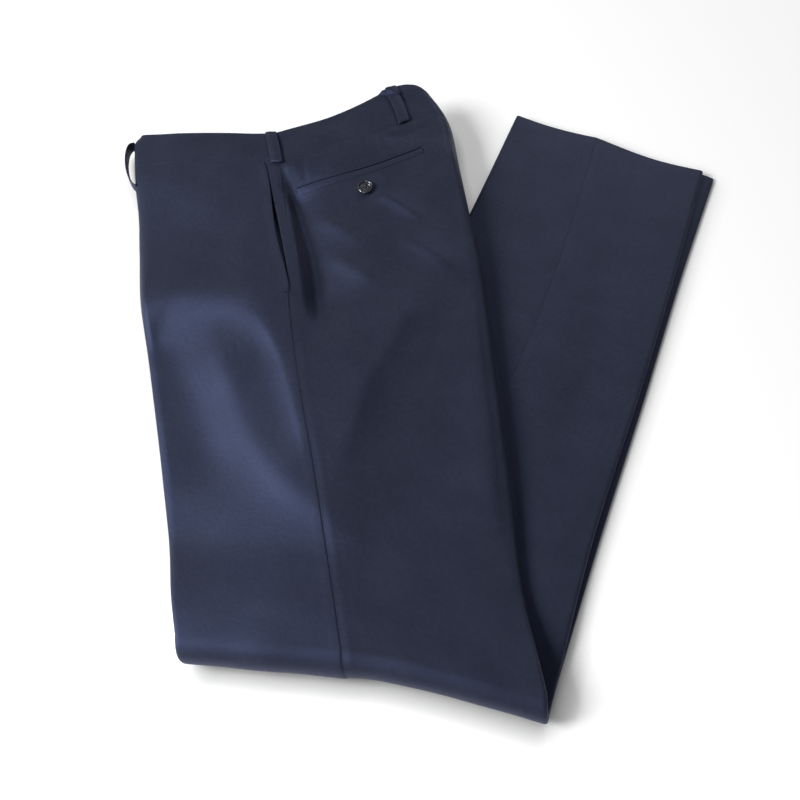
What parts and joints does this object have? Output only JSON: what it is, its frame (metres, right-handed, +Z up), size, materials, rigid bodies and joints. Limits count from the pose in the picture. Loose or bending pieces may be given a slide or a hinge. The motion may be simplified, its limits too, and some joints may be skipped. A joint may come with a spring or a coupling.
{
  "type": "folded flannel trousers",
  "caption": "Men's navy wool flannel trousers lying on their side with the legs laid together, folded once across at the knee so that the shins come out beside the thighs.",
  "frame": {"origin": "middle of the footprint, on the surface the trousers lie on", "axes": "+Z up from the surface; +Y from the fold at the knee towards the waist; +X from the front creases towards the back creases and the hem"},
  "size_m": [0.5692, 0.5956, 0.0458],
  "materials": {
    "flannel": "dark navy wool flannel with a fine twill and a soft milled nap",
    "hidden_flannel": "the same flannel in shade, as the layers folded inside",
    "button_horn": "polished dark imitation horn"
  },
  "bodies": {
    "root": {"left_front": "flannel", "left_back": "flannel", "left_pocket_facing": "flannel", "right_front": "flannel", "right_back": "flannel", "inner_layers": "hidden_flannel", "waistband_left": "flannel", "waistband_right": "flannel", "belt_loop_left_front": "flannel", "belt_loop_left_side": "flannel", "belt_loop_left_back": "flannel", "belt_loop_right_front": "flannel", "belt_loop_right_side": "flannel", "belt_loop_right_back": "flannel", "back_pocket_welt": "flannel", "back_pocket_button": "button_horn"}
  },
  "joints": []
}
